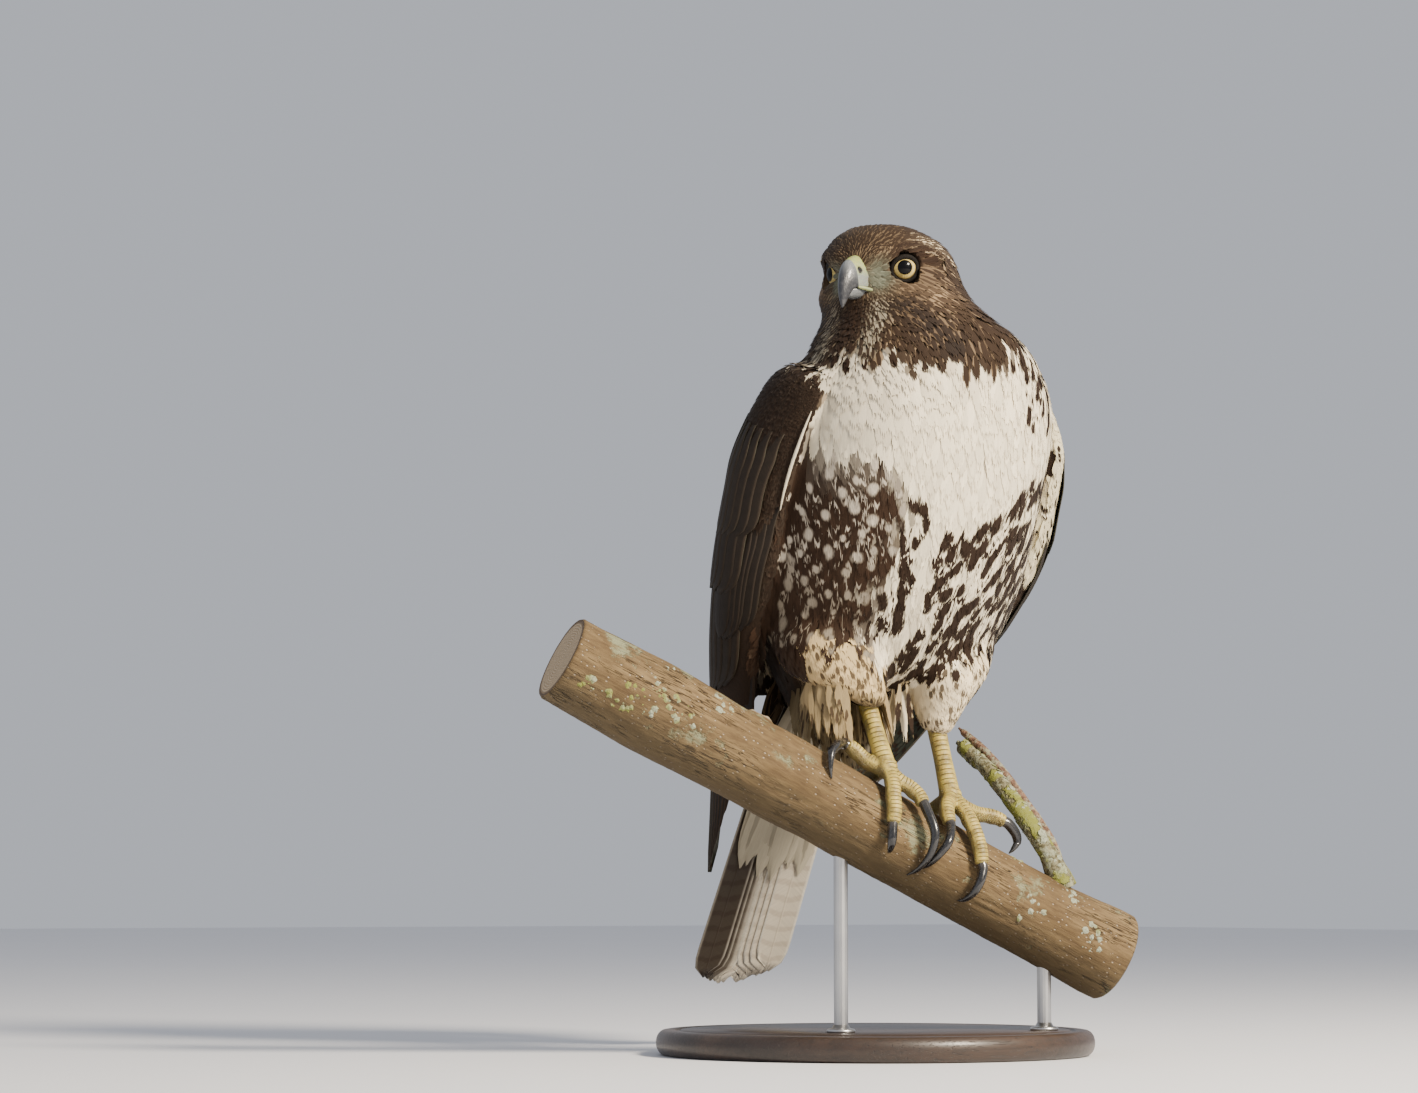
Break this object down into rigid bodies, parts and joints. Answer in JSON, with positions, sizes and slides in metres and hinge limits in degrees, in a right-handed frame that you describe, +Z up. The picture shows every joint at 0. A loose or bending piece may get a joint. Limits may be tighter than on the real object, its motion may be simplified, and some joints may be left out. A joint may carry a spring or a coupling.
{
  "type": "red tailed hawk",
  "caption": "Life-size still model of a young red tailed hawk, wings folded and head turned, gripping a cut length of branch held by rods on a round base.",
  "frame": {"origin": "centre of the stand base's underside", "axes": "+Z up, -Y the bird's front, +X the bird's left side; the head is turned towards -X"},
  "size_m": [0.3873, 0.3092, 0.522],
  "materials": {
    "plumage_dark": "soft dark brown contour feathers with buff edges",
    "plumage_pale": "soft white to cream breast and belly feathers with brown streaks",
    "tail_vanes": "firm grey brown tail feathers with narrow darker bars",
    "leg_scales": "yellow scaled skin, slightly waxy",
    "claw_horn": "polished black horn",
    "bill_horn": "blue black horn, paler at its root",
    "cere_skin": "waxy yellow green skin",
    "eye_clear": "wet clear eye over a pale yellow iris and a black pupil",
    "bark": "tan brown bark with pale pores, dark cracks and lichen",
    "twig_bark": "grey green twig bark with moss",
    "stand_wood": "dark stained wood, satin",
    "stand_steel": "plain brushed steel rod"
  },
  "bodies": {
    "root": {"trunk": "plumage_pale", "thigh_left": "plumage_pale", "thigh_right": "plumage_pale", "neck": "plumage_dark", "head": "plumage_dark", "wing_left": "plumage_dark", "wing_right": "plumage_dark", "primaries_left": "plumage_dark", "primaries_right": "plumage_dark", "tail": "tail_vanes", "eye_left": "eye_clear", "eye_right": "eye_clear", "cere": "cere_skin", "upper_bill": "bill_horn", "lower_bill": "bill_horn", "tarsus_left": "leg_scales", "tarsus_right": "leg_scales", "foot_left": "leg_scales", "foot_right": "leg_scales", "front_inner_toe_left": "leg_scales", "front_inner_toe_right": "leg_scales", "front_middle_toe_left": "leg_scales", "front_middle_toe_right": "leg_scales", "front_outer_toe_left": "leg_scales", "front_outer_toe_right": "leg_scales", "rear_toe_left": "leg_scales", "rear_toe_right": "leg_scales", "front_inner_claw_left": "claw_horn", "front_inner_claw_right": "claw_horn", "front_middle_claw_left": "claw_horn", "front_middle_claw_right": "claw_horn", "front_outer_claw_left": "claw_horn", "front_outer_claw_right": "claw_horn", "rear_claw_left": "claw_horn", "rear_claw_right": "claw_horn", "perch": "bark", "perch_twig": "twig_bark", "perch_twig_fork": "twig_bark", "stand_base": "stand_wood", "stand_rod_1": "stand_steel", "stand_rod_2": "stand_steel"}
  },
  "joints": []
}
